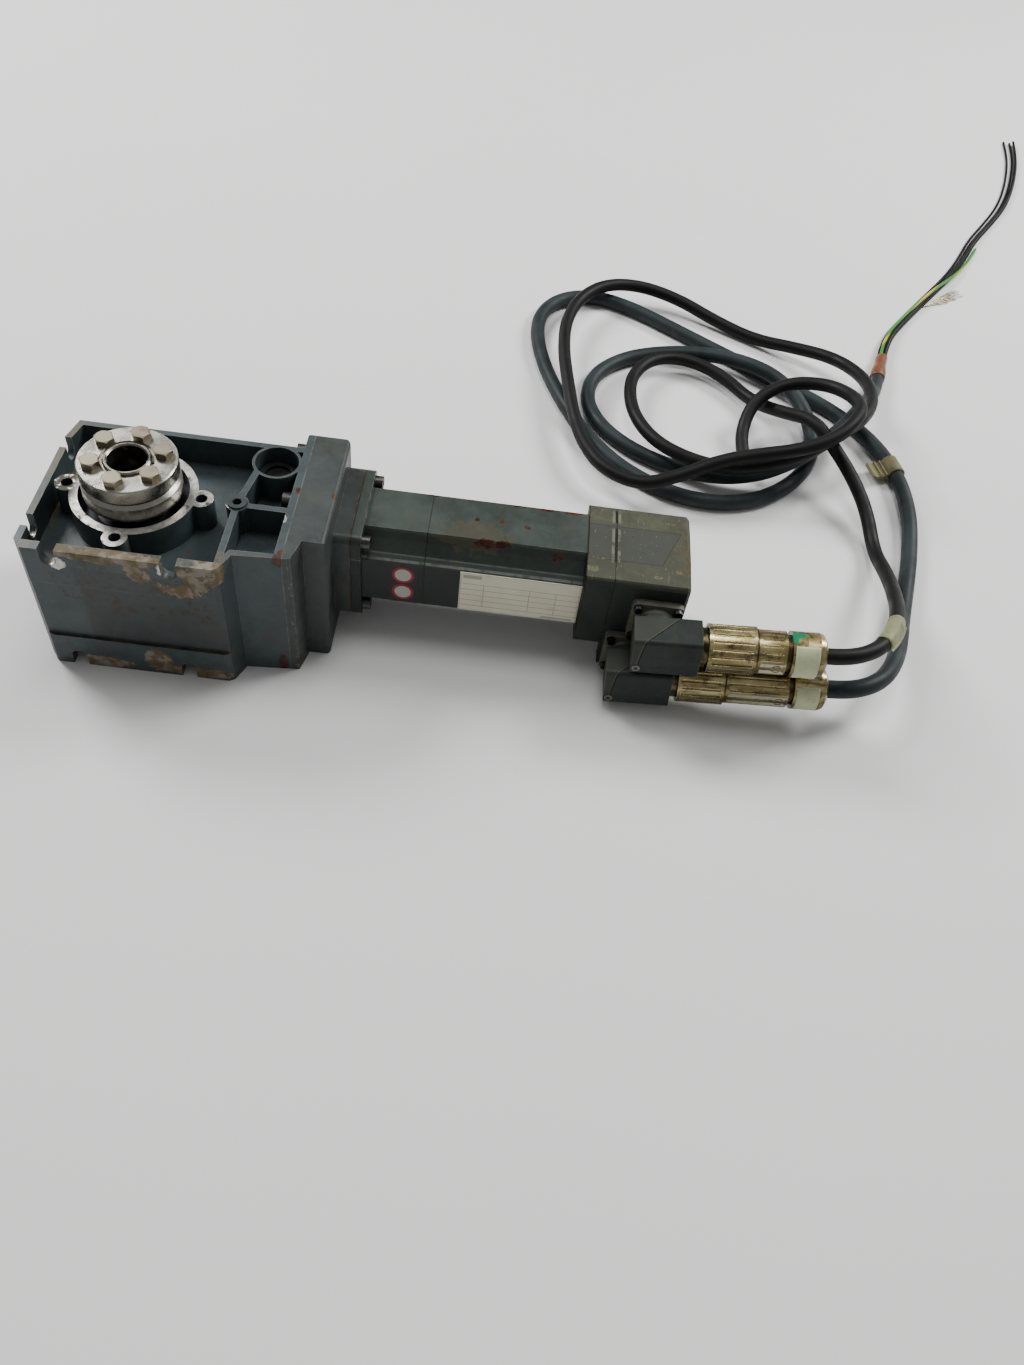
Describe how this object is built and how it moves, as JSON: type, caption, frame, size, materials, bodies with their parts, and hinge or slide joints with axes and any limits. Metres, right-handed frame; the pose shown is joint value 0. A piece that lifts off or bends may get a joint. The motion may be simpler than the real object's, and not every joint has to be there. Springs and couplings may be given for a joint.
{
  "type": "right-angle servo geared motor",
  "caption": "Right-angle servo geared motor: cast gearbox with a hollow shaft and shrink disc, square motor, two angled plug connectors with cables.",
  "frame": {"origin": "on the hollow output shaft's axis, at half the gearbox's height, level with the motor's axis", "axes": "+Z along the hollow shaft towards its shrink disc, +X along the motor away from the gearbox, +Y towards the gearbox's plain back wall"},
  "size_m": [0.783, 0.8729, 0.1252],
  "materials": {
    "bearing_steel": "polished",
    "black_core": "satin",
    "bolt_steel": "zinc-plated steel",
    "cable_tag": "satin",
    "cap_rubber": "matte",
    "connector_paint": "satin dark grey paint on die-cast metal",
    "copper_winding": "enamelled wire",
    "earth_core": "satin",
    "feedback_sheath": "matte",
    "gear_steel": "ground steel",
    "ground_steel": "turned steel",
    "heat_shrink": "satin",
    "housing_paint": "satin blue-grey paint on cast aluminium",
    "insert_plastic": "matte",
    "label": "matte",
    "label_sleeve": "satin",
    "laminations": "dull",
    "magnet": "nickel",
    "motor_paint": "satin green-grey paint on aluminium",
    "nickel_brass": "worn nickel on brass",
    "plate": "satin",
    "power_sheath": "matte",
    "seal_rubber": "matte"
  },
  "bodies": {
    "housing": {"access_cap": "cap_rubber", "black_conductors": "black_core", "cable_tag": "cable_tag", "earth_conductor": "earth_core", "feedback_cable": "feedback_sheath", "feedback_clamp_nut": "nickel_brass", "feedback_contact_insert": "insert_plastic", "feedback_end_cap": "cap_rubber", "feedback_plug_body": "nickel_brass", "feedback_socket_base": "connector_paint", "feedback_socket_elbow": "connector_paint", "gear_housing": "housing_paint", "heat_shrink_sleeve": "heat_shrink", "input_flange": "housing_paint", "input_flange_screws": "bolt_steel", "label_sleeve": "label_sleeve", "lower_output_bearing": "bearing_steel", "lower_output_seal": "seal_rubber", "marking_label": "label", "motor_bearing_front": "bearing_steel", "motor_bearing_rear": "bearing_steel", "motor_flange_screws": "bolt_steel", "motor_front_shield": "motor_paint", "motor_shaft_seal": "seal_rubber", "oil_plug": "housing_paint", "pinion_shaft_bearing_front": "bearing_steel", "pinion_shaft_bearing_rear": "bearing_steel", "power_cable": "power_sheath", "power_clamp_nut": "nickel_brass", "power_contact_insert": "insert_plastic", "power_plug_body": "nickel_brass", "power_socket_base": "connector_paint", "power_socket_elbow": "connector_paint", "rating_plate": "plate", "rear_cover": "motor_paint", "rear_cover_screws": "bolt_steel", "rear_shield": "motor_paint", "resolver_stator": "laminations", "socket_screws": "bolt_steel", "stator_core": "laminations", "stator_housing": "motor_paint", "stator_winding": "copper_winding", "upper_output_bearing": "bearing_steel", "upper_output_seal": "seal_rubber"},
    "output_shaft": {"hollow_output_shaft": "ground_steel", "bevel_wheel": "gear_steel", "bevel_wheel_key": "gear_steel", "shrink_disc_front_ring": "ground_steel", "shrink_disc_rear_ring": "ground_steel", "shrink_disc_sleeve": "ground_steel", "shrink_disc_bolts": "bolt_steel"},
    "pinion_shaft": {"bevel_pinion_shaft": "gear_steel", "spur_wheel": "gear_steel"},
    "rotor": {"rotor_shaft": "gear_steel", "rotor_core": "laminations", "rotor_magnets": "magnet", "motor_pinion": "gear_steel", "resolver_rotor": "laminations"},
    "feedback_ring": {"feedback_coupling_ring": "nickel_brass"},
    "power_ring": {"power_coupling_ring": "nickel_brass"}
  },
  "joints": [
    {"name": "output_spin", "type": "hinge", "parent": "housing", "child": "output_shaft", "pos_m": [0, 0, 0], "axis": [0, 0, 1], "continuous": true},
    {"name": "pinion_shaft_spin", "type": "hinge", "parent": "housing", "child": "pinion_shaft", "pos_m": [0.06, 0, 0], "axis": [1, 0, 0], "continuous": true},
    {"name": "rotor_spin", "type": "hinge", "parent": "housing", "child": "rotor", "pos_m": [0.2, 0.03, 0], "axis": [1, 0, 0], "continuous": true},
    {"name": "feedback_ring_turn", "type": "hinge", "parent": "housing", "child": "feedback_ring", "pos_m": [0.35519, -0.0266, 0.00524], "axis": [0.9976, 0, 0.0698], "continuous": true},
    {"name": "power_ring_turn", "type": "hinge", "parent": "housing", "child": "power_ring", "pos_m": [0.34389, -0.0266, -0.02626], "axis": [0.9976, 0, 0.0698], "continuous": true}
  ],
  "couplings": [
    {"joint": "pinion_shaft_spin", "follows": "output_spin", "ratio": 3},
    {"joint": "rotor_spin", "follows": "output_spin", "ratio": -5.1818}
  ]
}
